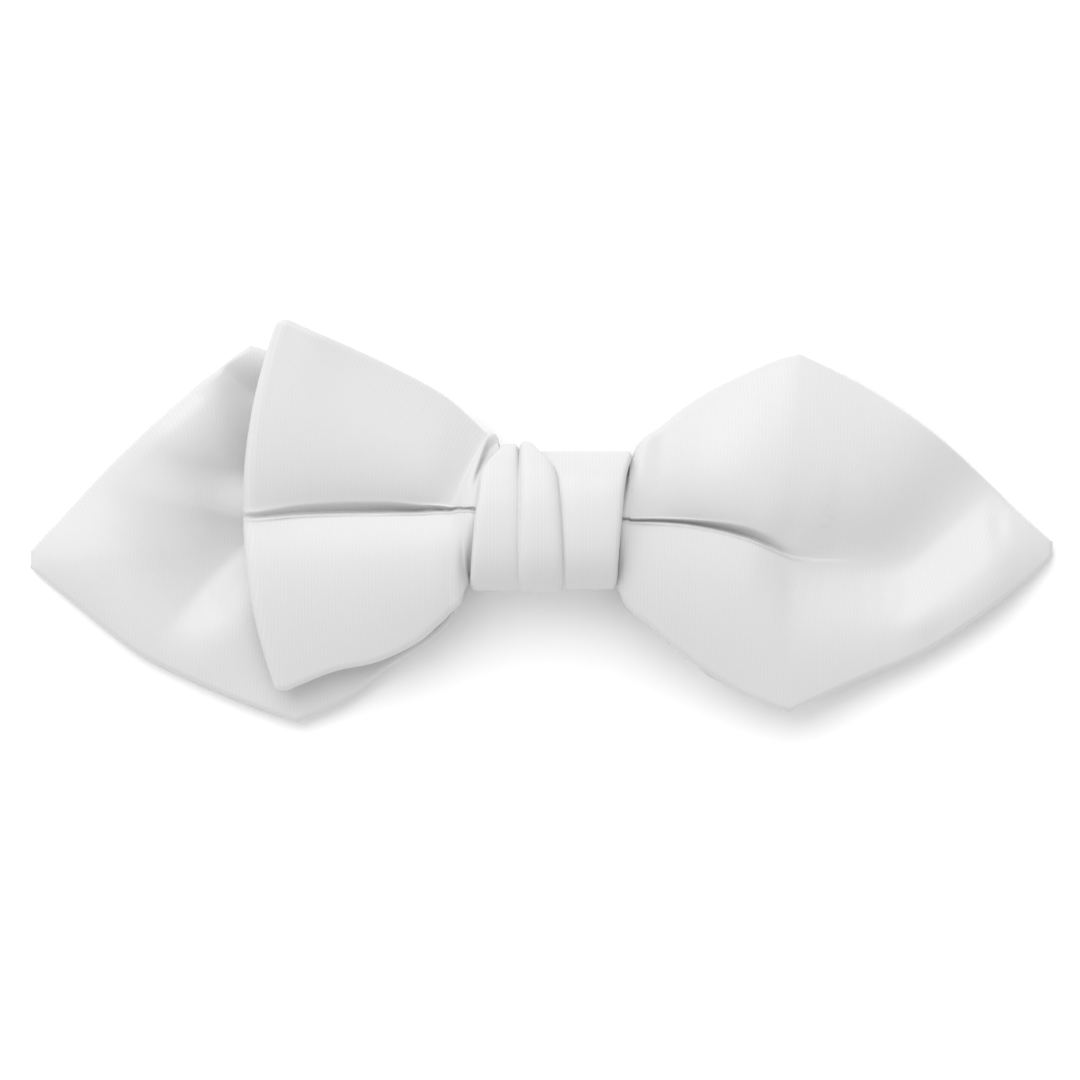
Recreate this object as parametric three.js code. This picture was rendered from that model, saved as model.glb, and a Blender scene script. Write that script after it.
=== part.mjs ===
// A pre-tied diamond point bow tie in satin, lying on its back.
// Millimetres, +X across the bow, +Y towards its upper edge, +Z out of its front.
import * as THREE from "three";
import { mergeVertices } from "three/addons/utils/BufferGeometryUtils.js";

// Cloth, clip and fit
const clothThickness = 1.2;
const wrapThickness = 1.2;
const clipThickness = 0.8;
const fitGap = 0.3;
const edgeRound = 0.55;

// Knot
const knotHalfWidth = 9.1;
const knotHalfHeight = 8.5;
const knotFrontRise = 6.5;
const knotBackCorner = 2.4;
const knotPleatRise = 0.9;
const knotArcPower = 2.3;
const pleatArchPower = 4;
const pleatArchRound = 0.6;

// Reach of each wing from the middle of the knot, and its height above and below
const frontPointReach = 62.7;
const frontPointTop = 20.6;
const frontPointFoot = 23.8;
const frontLoopReach = 37.5;
const frontLoopTop = 24.6;
const frontLoopFoot = 21.1;
const backPointReach = 64.4;
const backPointTop = 21.7;
const backPointFoot = 25.1;
const backLoopReach = 37.2;
const backLoopTop = 18.4;
const backLoopFoot = 21.1;

// Folds of the cloth
const rollDepth = 3.4;
const rollAbove = 7;
const rollBelow = 6;
const slotDepth = 1.9;
const slotAbove = 0.55;
const slotBelow = 0.8;
const creaseClearance = 0.3;
const foldHeight = 3;
const foldWidth = 6;
const frontTurnRadius = 0.8;
const backTurnRadius = 0.85;
const loopEdgeBow = 4.6;
const domePower = 1.7;
const hiddenInset = 0.05;
const steepestOffset = 1.5;

// Clip
const clipWidth = 8;
const clipArmReach = 24;
const clipArmLift = 0.3;
const clipStepRun = 1.5;
const clipLipRun = 2;

// Fineness of the solids
const acrossSteps = 16;
const stepsPerRow = 2;
const loopBackSteps = 6;
const passSteps = 4;
const turnSteps = 6;
const cornerSteps = 4;
const wallSteps = 3;
const arcSteps = 10;
const foldSteps = 12;
const centreCrowding = 1.45;
const widestInset = 0.3;
const mergeDistance = 1e-5;
const quarterTurn = Math.PI / 2;

// Heights of the layers in the knot, from the back: clip, four cloth layers, front wall
const layerPitch = clothThickness + fitGap;
const restHeight = clothThickness / 2;
const clipBaseHeight = wrapThickness + fitGap;
const layerFour = clipBaseHeight + clipThickness + fitGap + clothThickness / 2;
const layerThree = layerFour + layerPitch;
const layerTwo = layerThree + layerPitch;
const layerOne = layerTwo + layerPitch + creaseClearance + rollDepth + slotDepth;
const knotDepth = layerOne + clothThickness / 2 + fitGap + wrapThickness;
const channelHalfHeight = knotHalfHeight - wrapThickness - fitGap;

// Every wing table lists ribs from the knot outwards. X columns are shares of the reach,
// Y columns are shares of the wing's height above or below the middle of the knot, and
// the first two ribs have their edges inside the knot's channel instead. Levels, in the
// middle and at both edges, are shares of the way from the resting height to the layer's
// height in the knot. roll and slot are shares of their depths, pleatAt is the pleat's
// place between the lower edge, -1, and the upper edge, 1, gap is a share of slotAbove
// and bow a share of loopEdgeBow.
const ribColumns = [
  "at", "topX", "topY", "footX", "footY", "level", "topLevel", "footLevel",
  "roll", "slot", "pleatAt", "gap", "bow", "corner",
];

const frontPointRibs = [
  [0.00, 0.156, 0.000, 0.122, 0.000, 1.00, 0.68, 0.71, 0.60, 1.00, 0.06, 0.7, 0.00, 0],
  [0.02, 0.172, 0.000, 0.139, 0.000, 1.00, 0.69, 0.72, 0.60, 1.00, 0.08, 0.7, 0.00, 0],
  [0.05, 0.194, 0.420, 0.150, 0.385, 1.14, 0.86, 0.84, 0.90, 1.00, 0.10, 0.7, 0.00, 0],
  [0.10, 0.225, 0.562, 0.198, 0.550, 1.22, 0.72, 0.78, 1.00, 1.00, 0.10, 0.7, 0.00, 0],
  [0.20, 0.305, 0.750, 0.287, 0.746, 1.18, 0.44, 0.62, 1.00, 1.00, 0.03, 1.0, 0.00, 0],
  [0.30, 0.398, 0.892, 0.378, 0.900, 1.05, 0.30, 0.44, 1.00, 1.00, -0.04, 2.8, 0.00, 0],
  [0.42, 0.497, 1.000, 0.477, 1.000, 0.86, 0.22, 0.30, 1.00, 0.50, -0.12, 5.0, 0.00, 1],
  [0.55, 0.618, 0.814, 0.618, 0.829, 0.64, 0.22, 0.22, 0.80, 0.00, -0.18, 5.0, 0.00, 0],
  [0.70, 0.748, 0.554, 0.748, 0.683, 0.42, 0.18, 0.16, 0.40, 0.00, -0.18, 5.0, 0.00, 0],
  [0.83, 0.867, 0.244, 0.867, 0.480, 0.24, 0.13, 0.12, 0.00, 0.00, -0.10, 5.0, 0.00, 0],
  [0.92, 0.933, 0.044, 0.933, 0.342, 0.14, 0.09, 0.08, 0.00, 0.00, 0.00, 5.0, 0.00, 0],
  [0.97, 0.974, -0.066, 0.974, 0.256, 0.09, 0.06, 0.05, 0.00, 0.00, 0.00, 5.0, 0.00, 0],
  [1.00, 1.000, -0.133, 1.000, 0.185, 0.05, 0.05, 0.05, 0.00, 0.00, 0.00, 5.0, 0.00, 0],
];

const frontLoopRibs = [
  [0.00, 0.198, 0.000, 0.248, 0.000, 1.00, 0.73, 0.69, 0.60, 1.00, 0.06, 0.7, 0.12, 0],
  [0.02, 0.209, 0.000, 0.277, 0.000, 1.00, 0.74, 0.70, 0.60, 1.00, 0.05, 0.7, 0.15, 0],
  [0.06, 0.172, 0.406, 0.293, 0.430, 1.14, 0.88, 0.84, 0.90, 1.00, 0.04, 0.7, 0.55, 0],
  [0.13, 0.229, 0.480, 0.320, 0.540, 1.20, 0.80, 0.76, 1.00, 1.00, 0.00, 0.8, 0.50, 0],
  [0.25, 0.333, 0.614, 0.375, 0.635, 1.18, 0.72, 0.64, 1.00, 1.00, 0.00, 1.2, 0.45, 0],
  [0.40, 0.490, 0.749, 0.435, 0.724, 1.10, 0.68, 0.54, 1.00, 1.00, -0.02, 2.0, 0.50, 0],
  [0.60, 0.645, 0.861, 0.563, 0.832, 1.00, 0.68, 0.47, 1.00, 1.00, -0.04, 2.3, 0.65, 0],
  [0.80, 0.760, 0.937, 0.708, 0.890, 0.88, 0.70, 0.43, 0.90, 0.90, -0.06, 2.0, 0.82, 0],
  [1.00, 0.859, 1.000, 0.869, 1.000, 0.75, 0.70, 0.40, 0.65, 0.65, -0.07, 1.3, 1.00, 0],
];

const backPointRibs = [
  [0.00, 0.120, 0.000, 0.142, 0.000, 1.00, 1.00, 1.00, 0.00, 0.00, 0.00, 1.0, 0.00, 0],
  [0.02, 0.136, 0.000, 0.157, 0.000, 1.00, 1.00, 1.00, 0.00, 0.00, 0.00, 1.0, 0.00, 0],
  [0.08, 0.155, 0.380, 0.172, 0.381, 1.00, 0.97, 0.97, 0.00, 0.00, 0.00, 1.0, 0.00, 0],
  [0.16, 0.247, 0.610, 0.208, 0.554, 0.98, 0.90, 0.86, 0.00, 0.00, 0.00, 1.0, 0.00, 0],
  [0.26, 0.401, 0.820, 0.312, 0.737, 0.92, 0.74, 0.66, 0.00, 0.00, 0.00, 1.0, 0.00, 0],
  [0.36, 0.497, 0.930, 0.391, 0.890, 0.86, 0.64, 0.46, 0.00, 0.00, 0.00, 1.0, 0.00, 0],
  [0.45, 0.574, 1.000, 0.484, 1.000, 0.90, 0.58, 0.32, 0.00, 0.00, 0.00, 1.0, 0.00, 1],
  [0.55, 0.643, 0.848, 0.596, 0.895, 1.02, 0.52, 0.24, 0.00, 0.00, 0.00, 1.0, 0.00, 0],
  [0.65, 0.726, 0.637, 0.679, 0.804, 1.00, 0.48, 0.18, 0.00, 0.00, 0.00, 1.0, 0.00, 0],
  [0.75, 0.797, 0.445, 0.777, 0.683, 0.85, 0.42, 0.16, 0.00, 0.00, 0.00, 1.0, 0.00, 0],
  [0.84, 0.867, 0.244, 0.850, 0.547, 0.64, 0.32, 0.12, 0.00, 0.00, 0.00, 1.0, 0.00, 0],
  [0.91, 0.938, 0.016, 0.909, 0.425, 0.38, 0.16, 0.08, 0.00, 0.00, 0.00, 1.0, 0.00, 0],
  [0.96, 0.970, -0.080, 0.968, 0.304, 0.18, 0.08, 0.04, 0.00, 0.00, 0.00, 1.0, 0.00, 0],
  [1.00, 1.000, -0.180, 1.000, 0.237, 0.00, 0.00, 0.00, 0.00, 0.00, 0.00, 1.0, 0.00, 0],
];

const backLoopRibs = [
  [0.00, 0.265, 0.000, 0.210, 0.000, 1.00, 1.00, 1.00, 0.00, 0.00, 0.00, 1.0, 0.00, 0],
  [0.02, 0.292, 0.000, 0.235, 0.000, 1.00, 1.00, 1.00, 0.00, 0.00, 0.00, 1.0, 0.00, 0],
  [0.10, 0.302, 0.385, 0.264, 0.430, 1.00, 0.97, 0.97, 0.00, 0.00, 0.00, 1.0, 0.10, 0],
  [0.25, 0.384, 0.553, 0.374, 0.635, 1.00, 0.85, 0.75, 0.00, 0.00, 0.00, 1.0, 0.25, 0],
  [0.45, 0.514, 0.776, 0.484, 0.835, 0.94, 0.60, 0.45, 0.00, 0.00, 0.00, 1.0, 0.45, 0],
  [0.60, 0.620, 0.880, 0.545, 0.930, 0.80, 0.48, 0.42, 0.00, 0.00, 0.00, 1.0, 0.60, 0],
  [0.80, 0.715, 0.950, 0.660, 0.980, 0.62, 0.44, 0.42, 0.00, 0.00, 0.00, 1.0, 0.80, 0],
  [1.00, 0.815, 1.000, 0.805, 1.000, 0.45, 0.44, 0.44, 0.00, 0.00, 0.00, 1.0, 1.00, 0],
];

// How far a loop's hidden layer has gone from its own height to the fold's height
const hiddenColumns = ["at", "climb", "sink", "corner"];
const hiddenRows = [
  [0.00, 0.00, 0.00, 0],
  [0.30, 0.12, 0.02, 0],
  [0.45, 0.25, 0.07, 0],
  [0.60, 0.40, 0.12, 0],
  [0.80, 0.65, 0.50, 0],
  [1.00, 1.00, 1.00, 0],
];

// Soft folds over the ribs. A fold's line goes through points given as shares of the
// wing's reach, its height is a share of foldHeight, and its widths above and below the
// line are shares of foldWidth. start and end are the shares of the line where it fades.
const frontPointFolds = [
  {
    path: [[0.30, -0.02], [0.38, -0.04], [0.525, -0.085], [0.70, -0.04], [0.85, 0.06], [0.92, 0.12]],
    height: -0.8, above: 1.5, below: 1, start: 0.3, end: 0.25,
  },
  {
    path: [[0.60, -0.20], [0.75, -0.19], [0.86, -0.13], [0.98, -0.08]],
    height: 0.22, above: 0.9, below: 0.6, start: 0.5, end: 0.3,
  },
];

const backPointFolds = [
  {
    path: [[0.60, 0.28], [0.67, 0.21], [0.76, 0.13], [0.85, 0.03]],
    height: 0.75, above: 0.7, below: 1.6, start: 0.3, end: 0.5,
  },
  {
    path: [[0.52, 0.03], [0.57, -0.02], [0.62, -0.06], [0.67, -0.12], [0.72, -0.18], [0.79, -0.27]],
    height: -0.95, above: 1.9, below: 0.75, start: 0.3, end: 0.4,
  },
  {
    path: [[0.50, 0.30], [0.54, 0.15], [0.57, 0.0]],
    height: -1.25, above: 1.8, below: 1, start: 0.3, end: 0.3,
  },
];

// Edges and pleat valleys of the wrap: heights are shares of knotHalfHeight,
// the rest are shares of knotHalfWidth.
const wrapColumns = ["at", "left", "firstValley", "secondValley", "right", "corner"];
const wrapRows = [
  [-1.00, -1.080, -0.390, 0.220, 0.890, 0],
  [-0.70, -1.065, -0.400, 0.212, 0.920, 0],
  [-0.30, -1.030, -0.415, 0.195, 0.960, 0],
  [0.00, -1.000, -0.410, 0.175, 0.995, 0],
  [0.40, -0.965, -0.405, 0.120, 1.035, 0],
  [0.74, -0.910, -0.400, 0.025, 1.085, 0],
  [1.00, -0.640, -0.375, -0.070, 1.150, 0],
];

// Heights of each pleat band's rims and crown, and of its upper and lower ends, as shares
// of knotPleatRise; towards its ends a band passes over from wrapEndShare outwards.
const wrapEndShare = 0.4;
const wrapBackShare = 0.1;
const wrapFrontShare = 0.4;
const pleatBands = [
  { from: "left", to: "firstValley", steps: 4, rim: 0.1, crown: 0.45, top: 0.8, foot: 0.3 },
  { from: "firstValley", to: "secondValley", steps: 5, rim: -0.1, crown: 1, top: 1.15, foot: 0.4 },
  { from: "secondValley", to: "right", steps: 5, rim: -0.1, crown: 0.5, top: 0.1, foot: 0.1 },
];

function asRecords(columns, rows) {
  return rows.map((row) => Object.fromEntries(columns.map((name, index) => [name, row[index]])));
}

// A smooth value through the rows of a table. Only the outline bends sharply at a corner
// row, and with bent false it is smooth there too.
const outlineNames = ["topY", "footY"];

function slopeAt(records, index, name, side, bent) {
  const sharp = bent && records[index].corner === 1 && outlineNames.includes(name);
  const before = index === 0 || (sharp && side > 0) ? index : index - 1;
  const after = index === records.length - 1 || (sharp && side < 0) ? index : index + 1;
  return (records[after][name] - records[before][name]) / (records[after].at - records[before].at);
}

function recordAt(records, at, bent = true) {
  let index = 0;
  while (index < records.length - 2 && at > records[index + 1].at) {
    index += 1;
  }
  const start = records[index];
  const end = records[index + 1];
  const length = end.at - start.at;
  const t = THREE.MathUtils.clamp((at - start.at) / length, 0, 1);
  const h00 = 2 * t ** 3 - 3 * t ** 2 + 1;
  const h10 = t ** 3 - 2 * t ** 2 + t;
  const h01 = 3 * t ** 2 - 2 * t ** 3;
  const h11 = t ** 3 - t ** 2;
  const result = {};
  for (const name of Object.keys(start)) {
    const leave = slopeAt(records, index, name, 1, bent) * length;
    const arrive = slopeAt(records, index + 1, name, -1, bent) * length;
    result[name] = h00 * start[name] + h10 * leave + h01 * end[name] + h11 * arrive;
  }
  return result;
}

// How far the lengthwise pleat takes the cloth down, at a distance above its line.
function pleatFall(rib, distance) {
  const roll = distance > 0 ? rollAbove : rollBelow;
  const slot = distance > 0 ? Math.max(slotAbove * rib.gap, slotBelow) : slotBelow;
  const wide = rib.roll * rollDepth * Math.exp(-Math.abs(distance) / roll);
  const narrow = rib.slot * slotDepth * Math.exp(-((distance / slot) ** 2));
  return wide + narrow;
}

// A smooth line of points in the XY plane through the points of a fold's path.
function foldLine(path, reach) {
  const rows = path.map(([x, y], index) => ({ at: index / (path.length - 1), x, y }));
  const line = [];
  for (let step = 0; step <= foldSteps; step += 1) {
    const place = recordAt(rows, step / foldSteps);
    line.push(new THREE.Vector2(place.x * reach, place.y * reach));
  }
  return line;
}

// Height of one soft fold at a place.
function foldRise(fold, place) {
  let nearest = Infinity;
  let above = true;
  let along = 0;
  for (let step = 0; step < foldSteps; step += 1) {
    const start = fold.line[step];
    const run = fold.line[step + 1].clone().sub(start);
    const toPlace = place.clone().sub(start);
    const share = THREE.MathUtils.clamp(toPlace.dot(run) / run.lengthSq(), 0, 1);
    const off = toPlace.addScaledVector(run, -share);
    if (off.length() < nearest) {
      nearest = off.length();
      above = run.cross(off) > 0;
      along = (step + share) / foldSteps;
    }
  }
  const width = (above ? fold.above : fold.below) * foldWidth;
  const fadeIn = THREE.MathUtils.smoothstep(along, 0, fold.start);
  const fadeOut = THREE.MathUtils.smoothstep(1 - along, 0, fold.end);
  return fold.height * foldHeight * fadeIn * fadeOut * Math.exp(-((nearest / width) ** 2));
}

function makeWing(side, ribs, folds, reach, top, foot, root) {
  return {
    side,
    ribs: asRecords(ribColumns, ribs),
    folds: folds.map((fold) => ({ ...fold, line: foldLine(fold.path, reach) })),
    reach,
    top,
    foot,
    root,
  };
}

const frontPoint = makeWing(
  1, frontPointRibs, frontPointFolds, frontPointReach, frontPointTop, frontPointFoot, layerOne,
);
const frontLoop = makeWing(-1, frontLoopRibs, [], frontLoopReach, frontLoopTop, frontLoopFoot, layerOne);
const backPoint = makeWing(
  -1, backPointRibs, backPointFolds, backPointReach, backPointTop, backPointFoot, layerThree,
);
const backLoop = makeWing(1, backLoopRibs, [], backLoopReach, backLoopTop, backLoopFoot, layerThree);
const hiddenRecords = asRecords(hiddenColumns, hiddenRows);

// Values of a rib, with the heights of its ends in millimetres.
function wingFrame(wing, at, bent = true) {
  const rib = recordAt(wing.ribs, at, bent);
  const inChannel = 1 - THREE.MathUtils.smoothstep(at, wing.ribs[1].at, wing.ribs[2].at);
  rib.top = rib.topY * wing.top + inChannel * channelHalfHeight;
  rib.foot = -rib.footY * wing.foot - inChannel * channelHalfHeight;
  return rib;
}

// Middle surface of a wing: at runs from the knot outwards, across from -1 below to 1 above.
// Its height follows the rounded outline, so that no kink runs inwards from a corner.
function wingPoint(wing, at, across) {
  const rib = wingFrame(wing, at);
  const soft = wingFrame(wing, at, false);
  const share = (across + 1) / 2;
  const bowed = rib.bow * loopEdgeBow * (1 - across * across);
  const out = THREE.MathUtils.lerp(rib.footX, rib.topX, share) * wing.reach + bowed;
  const y = THREE.MathUtils.lerp(rib.foot, rib.top, share);
  const pleatY = THREE.MathUtils.lerp(soft.foot, soft.top, (rib.pleatAt + 1) / 2);
  const softAcross = (2 * y - soft.top - soft.foot) / (soft.top - soft.foot);
  const edgeLevel = softAcross > 0 ? rib.topLevel : rib.footLevel;
  const level = THREE.MathUtils.lerp(rib.level, edgeLevel, Math.abs(softAcross) ** domePower);
  const place = new THREE.Vector2(out, y);
  let z = THREE.MathUtils.lerp(restHeight, wing.root, level) - pleatFall(rib, y - pleatY);
  for (const fold of wing.folds) {
    z += foldRise(fold, place);
  }
  return new THREE.Vector3(wing.side * out, y, Math.max(z, restHeight));
}

// Places across a wing, close together at its pleat and with one line just inside each edge.
function acrossLines(wing, at) {
  const rib = wingFrame(wing, at);
  const inset = Math.min(2 * edgeRound / (rib.top - rib.foot), widestInset);
  const lines = [];
  for (let step = 0; step <= acrossSteps; step += 1) {
    const even = 2 * step / acrossSteps - 1;
    const room = even > 0 ? 1 - rib.pleatAt : 1 + rib.pleatAt;
    lines.push(rib.pleatAt + Math.sign(even) * Math.abs(even) ** centreCrowding * room);
  }
  const inside = lines.slice(1, -1).map((line) => line * (1 - inset));
  return [-1, inset - 1, ...inside, 1 - inset, 1];
}

function wingStation(wing, at) {
  return acrossLines(wing, at).map((across) => wingPoint(wing, at, across));
}

// Stations of a wing from its knot end to its far end.
function wingStations(wing) {
  const stations = [];
  for (let row = 0; row < wing.ribs.length - 1; row += 1) {
    for (let step = 0; step < stepsPerRow; step += 1) {
      const share = step / stepsPerRow;
      const at = THREE.MathUtils.lerp(wing.ribs[row].at, wing.ribs[row + 1].at, share);
      stations.push(wingStation(wing, at));
    }
  }
  stations.push(wingStation(wing, 1));
  return stations;
}

// A loop's hidden layer follows its front layer's outline at a height of its own.
function hiddenStation(loop, at, heightOf) {
  const inset = 1 - hiddenInset * Math.sin(Math.PI * at);
  return acrossLines(loop, at).map((across) => {
    const point = wingPoint(loop, at, across);
    point.z = heightOf(at, across, point.z);
    point.y *= inset;
    return point;
  });
}

function frontHiddenHeight(at, across, frontHeight) {
  const underFold = wingPoint(frontLoop, 1, across).z - 2 * frontTurnRadius;
  const climbing = THREE.MathUtils.lerp(layerTwo, underFold, recordAt(hiddenRecords, at).climb);
  return Math.min(climbing, frontHeight - 2 * frontTurnRadius);
}

function backHiddenHeight(at, across, frontHeight) {
  const middleHeight = wingPoint(backLoop, at, 0).z;
  const underFold = wingPoint(backLoop, 1, 0).z - 2 * backTurnRadius;
  const sinking = THREE.MathUtils.lerp(layerFour, underFold, recordAt(hiddenRecords, at).sink);
  const middle = Math.min(sinking, middleHeight - layerPitch);
  return Math.max(middle - middleHeight + frontHeight, restHeight);
}

// Half circles that join the two layers of a loop at its folded edge.
function turnStations(frontEnd, hiddenEnd, side) {
  const stations = [];
  for (let step = 1; step < turnSteps; step += 1) {
    const angle = Math.PI * step / turnSteps;
    stations.push(frontEnd.map((front, line) => {
      const hidden = hiddenEnd[line];
      const radius = front.distanceTo(hidden) / 2;
      const point = front.clone().lerp(hidden, (1 - Math.cos(angle)) / 2);
      point.x += side * radius * Math.sin(angle);
      return point;
    }));
  }
  return stations;
}

function passStations(from, to) {
  const stations = [];
  for (let step = 1; step < passSteps; step += 1) {
    stations.push(from.map((point, line) => point.clone().lerp(to[line], step / passSteps)));
  }
  return stations;
}

// A cloth strip round a sheet of middle points: thick inside, closed along its border.
function stripGeometry(stations) {
  const rows = stations.length;
  const columns = stations[0].length;
  const positions = [];
  for (const layer of [1, -1]) {
    for (let row = 0; row < rows; row += 1) {
      for (let column = 0; column < columns; column += 1) {
        const point = stations[row][column].clone();
        const onBorder = row === 0 || row === rows - 1 || column === 0 || column === columns - 1;
        if (!onBorder) {
          const along = stations[row + 1][column].clone().sub(stations[row - 1][column]);
          const across = stations[row][column + 1].clone().sub(stations[row][column - 1]);
          const outward = new THREE.Vector3(along.z, 0, -along.x).normalize();
          const rise = across.dot(outward);
          const run = across.addScaledVector(outward, -rise).length();
          const stretch = Math.min(Math.hypot(1, rise / run), steepestOffset);
          point.addScaledVector(outward, layer * stretch * clothThickness / 2);
        }
        positions.push(point.x, point.y, point.z);
      }
    }
  }
  const indices = [];
  for (const layer of [0, 1]) {
    for (let row = 0; row < rows - 1; row += 1) {
      for (let column = 0; column < columns - 1; column += 1) {
        const a = (layer * rows + row) * columns + column;
        const b = a + 1;
        const c = a + columns + 1;
        const d = a + columns;
        indices.push(...(layer === 0 ? [a, b, c, a, c, d] : [a, c, b, a, d, c]));
      }
    }
  }
  const geometry = new THREE.BufferGeometry();
  geometry.setAttribute("position", new THREE.Float32BufferAttribute(positions, 3));
  geometry.setIndex(indices);
  return mergeVertices(geometry, mergeDistance);
}

// A blade from its diamond point through the knot, round its loop and back into the knot.
function makeBlade(point, loop, heightOf) {
  const pointStations = wingStations(point).reverse();
  const loopStations = wingStations(loop);
  const hidden = [];
  for (let step = 0; step <= loopBackSteps; step += 1) {
    const at = THREE.MathUtils.lerp(1, loop.ribs[1].at, step / loopBackSteps);
    hidden.push(hiddenStation(loop, at, heightOf));
  }
  hidden.push(hiddenStation(loop, 0, heightOf));
  const passing = passStations(pointStations.at(-1), loopStations[0]);
  const turning = turnStations(loopStations.at(-1), hidden[0], loop.side);
  const tail = hidden.at(-1).map((place) => place.clone().setX(place.x - loop.side * knotHalfWidth));
  return stripGeometry([...pointStations, ...passing, ...loopStations, ...turning, ...hidden, tail]);
}

// Points of the wrap's section in the YZ plane, anticlockwise seen from +X, with a
// rounded front and small back corners.
function wrapSection(inset) {
  const halfHeight = knotHalfHeight - inset;
  const backCorner = Math.max(knotBackCorner - inset, fitGap);
  const shoulder = knotDepth - knotFrontRise;
  const half = [];
  for (let step = 1; step < wallSteps; step += 1) {
    half.push(new THREE.Vector2((halfHeight - backCorner) * step / wallSteps, inset));
  }
  for (let step = 0; step <= cornerSteps; step += 1) {
    const angle = quarterTurn * step / cornerSteps;
    half.push(new THREE.Vector2(
      halfHeight - backCorner * (1 - Math.sin(angle)),
      inset + backCorner * (1 - Math.cos(angle)),
    ));
  }
  for (let step = 1; step < wallSteps; step += 1) {
    const share = step / wallSteps;
    half.push(new THREE.Vector2(halfHeight, THREE.MathUtils.lerp(inset + backCorner, shoulder, share)));
  }
  for (let step = 0; step < arcSteps; step += 1) {
    const angle = quarterTurn * step / arcSteps;
    half.push(new THREE.Vector2(
      halfHeight * Math.cos(angle) ** (2 / knotArcPower),
      shoulder + (knotFrontRise - inset) * Math.sin(angle) ** (2 / knotArcPower),
    ));
  }
  const backMiddle = new THREE.Vector2(0, inset);
  const frontMiddle = new THREE.Vector2(0, knotDepth - inset);
  const mirrored = half.map((place) => new THREE.Vector2(-place.x, place.y)).reverse();
  return [backMiddle, ...half, frontMiddle, ...mirrored];
}

// Outward direction of a closed section at one of its points.
function sectionNormal(section, index) {
  const before = section.at(index - 1);
  const after = section[(index + 1) % section.length];
  return new THREE.Vector2(after.y - before.y, before.x - after.x).normalize();
}

// Knot wrap: one band round the waist of both blades, with a raised middle pleat in front.
function makeKnotWrap() {
  const records = asRecords(wrapColumns, wrapRows);
  const outer = wrapSection(0);
  const inner = wrapSection(wrapThickness);
  const rings = [[], []];
  outer.forEach((place, station) => {
    const heightShare = place.x / knotHalfHeight;
    const lines = recordAt(records, heightShare);
    const normal = sectionNormal(outer, station);
    const back = wrapBackShare * knotDepth;
    const frontness = THREE.MathUtils.smoothstep(place.y, back, wrapFrontShare * knotDepth);
    const upper = THREE.MathUtils.smoothstep(heightShare, wrapEndShare, 1);
    const lower = THREE.MathUtils.smoothstep(-heightShare, wrapEndShare, 1);
    const outerRow = [];
    const innerRow = [];
    for (const band of pleatBands) {
      const crown = band.crown + upper * (band.top - band.crown) + lower * (band.foot - band.crown);
      const first = band.from === "left" ? 0 : 1;
      for (let step = first; step <= band.steps; step += 1) {
        const share = step / band.steps;
        const x = THREE.MathUtils.lerp(lines[band.from], lines[band.to], share) * knotHalfWidth;
        const arch = (1 - Math.abs(2 * share - 1) ** pleatArchPower) ** pleatArchRound;
        const height = THREE.MathUtils.lerp(band.rim, crown, arch) * knotPleatRise * frontness;
        outerRow.push(new THREE.Vector3(
          x, place.x + height * normal.x, place.y + height * normal.y,
        ));
        innerRow.push(new THREE.Vector3(x, inner[station].x, inner[station].y));
      }
    }
    rings[0].push(outerRow);
    rings[1].push(innerRow);
  });
  const columns = rings[0][0].length;
  const stations = outer.length;
  const loops = [];
  for (let column = 0; column < columns; column += 1) {
    loops.push(rings[0].map((row) => row[column]));
  }
  for (let column = columns - 1; column >= 0; column -= 1) {
    loops.push(rings[1].map((row) => row[column]));
  }
  const positions = loops.flat().flatMap((point) => [point.x, point.y, point.z]);
  const indices = [];
  loops.forEach((loop, index) => {
    const next = (index + 1) % loops.length;
    for (let station = 0; station < stations; station += 1) {
      const following = (station + 1) % stations;
      const a = index * stations + station;
      const b = next * stations + station;
      const c = next * stations + following;
      const d = index * stations + following;
      indices.push(a, c, b, a, d, c);
    }
  });
  const geometry = new THREE.BufferGeometry();
  geometry.setAttribute("position", new THREE.Float32BufferAttribute(positions, 3));
  geometry.setIndex(indices);
  return mergeVertices(geometry, mergeDistance);
}

// A flat strip's outline, half its thickness to each side of a bent middle line.
function stripOutline(middle, thickness) {
  const sideOf = (sign) => middle.map((point, index) => {
    const before = middle[Math.max(index - 1, 0)];
    const after = middle[Math.min(index + 1, middle.length - 1)];
    const arriving = point.clone().sub(before);
    const leaving = after.clone().sub(point);
    const first = (arriving.length() > 0 ? arriving : leaving).clone().normalize();
    const second = (leaving.length() > 0 ? leaving : arriving).clone().normalize();
    const bisector = first.clone().add(second).normalize();
    const reach = sign * thickness / 2 / bisector.dot(first);
    return new THREE.Vector2(point.x - bisector.y * reach, point.y + bisector.x * reach);
  });
  return [...sideOf(-1), ...sideOf(1).reverse()];
}

// Collar clip: a spring strip held under the wrap's back wall, stepped down to two arms.
function makeCollarClip() {
  const wrapReach = Math.max(...wrapRows.map(([, left]) => -left)) * knotHalfWidth;
  const stepStart = wrapReach + fitGap + clipThickness;
  const baseMiddle = clipBaseHeight + clipThickness / 2;
  const armMiddle = clipArmLift + clipThickness / 2;
  const lipMiddle = clipThickness / 2;
  const half = [
    new THREE.Vector2(stepStart, baseMiddle),
    new THREE.Vector2(stepStart + clipStepRun, armMiddle),
    new THREE.Vector2(clipArmReach - clipLipRun, armMiddle),
    new THREE.Vector2(clipArmReach, lipMiddle),
  ];
  const mirrored = half.map((point) => new THREE.Vector2(-point.x, point.y)).reverse();
  const shape = new THREE.Shape(stripOutline([...mirrored, ...half], clipThickness));
  const geometry = new THREE.ExtrudeGeometry(shape, { depth: clipWidth, bevelEnabled: false });
  geometry.translate(0, 0, -clipWidth / 2);
  geometry.rotateX(Math.PI / 2);
  geometry.deleteAttribute("normal");
  geometry.deleteAttribute("uv");
  return mergeVertices(geometry, mergeDistance);
}

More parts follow.
